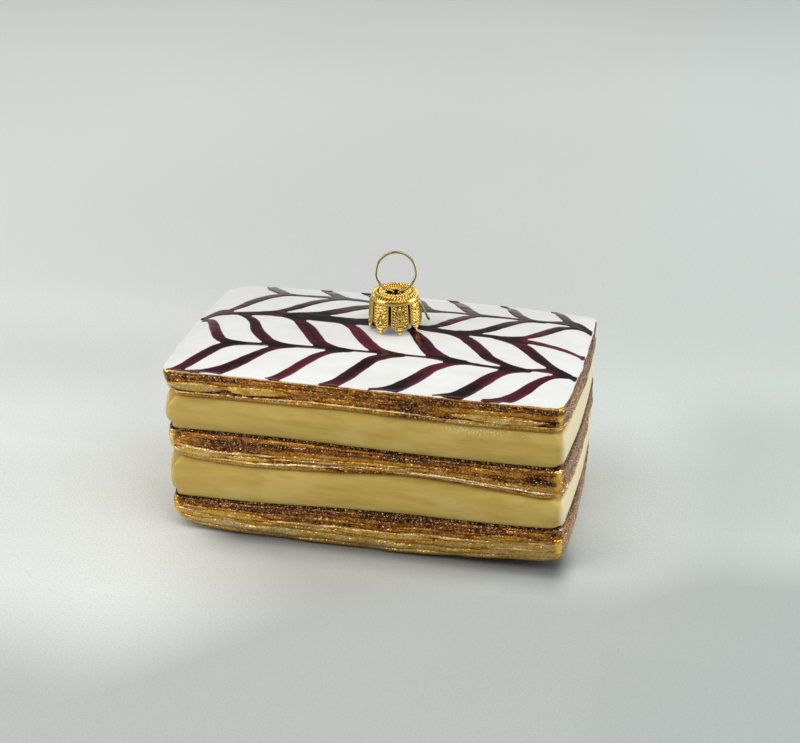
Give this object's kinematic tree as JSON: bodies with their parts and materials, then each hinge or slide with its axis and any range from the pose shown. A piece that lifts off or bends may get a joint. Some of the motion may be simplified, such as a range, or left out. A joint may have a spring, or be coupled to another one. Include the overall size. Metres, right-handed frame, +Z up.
{
  "type": "mille feuille slice glass ornament",
  "caption": "Blown glass hanging ornament shaped as a mille feuille slice with feathered icing, crust and cream bands, a crimped metal cap and a wire hanger ring.",
  "frame": {"origin": "on the ground plane, under the middle of the bounding box", "axes": "+Z up towards the hanger ring, +X along the slice to the right seen from its front, +Y towards its back"},
  "size_m": [0.094, 0.0528, 0.0631],
  "materials": {
    "painted_glass": "gloss paint over glass",
    "icing_white": "pearly gloss paint over glass",
    "feather_paint": "raised gloss enamel over glass",
    "crust_paint": "metallic lacquer over glass",
    "cream_paint": "satin paint over glass",
    "glitter": "fine metallic glitter",
    "cap_metal": "embossed and polished",
    "wire_metal": "drawn and bright"
  },
  "bodies": {
    "root": {"glass_body": "painted_glass", "cap": "cap_metal", "hanger": "wire_metal"}
  },
  "joints": []
}
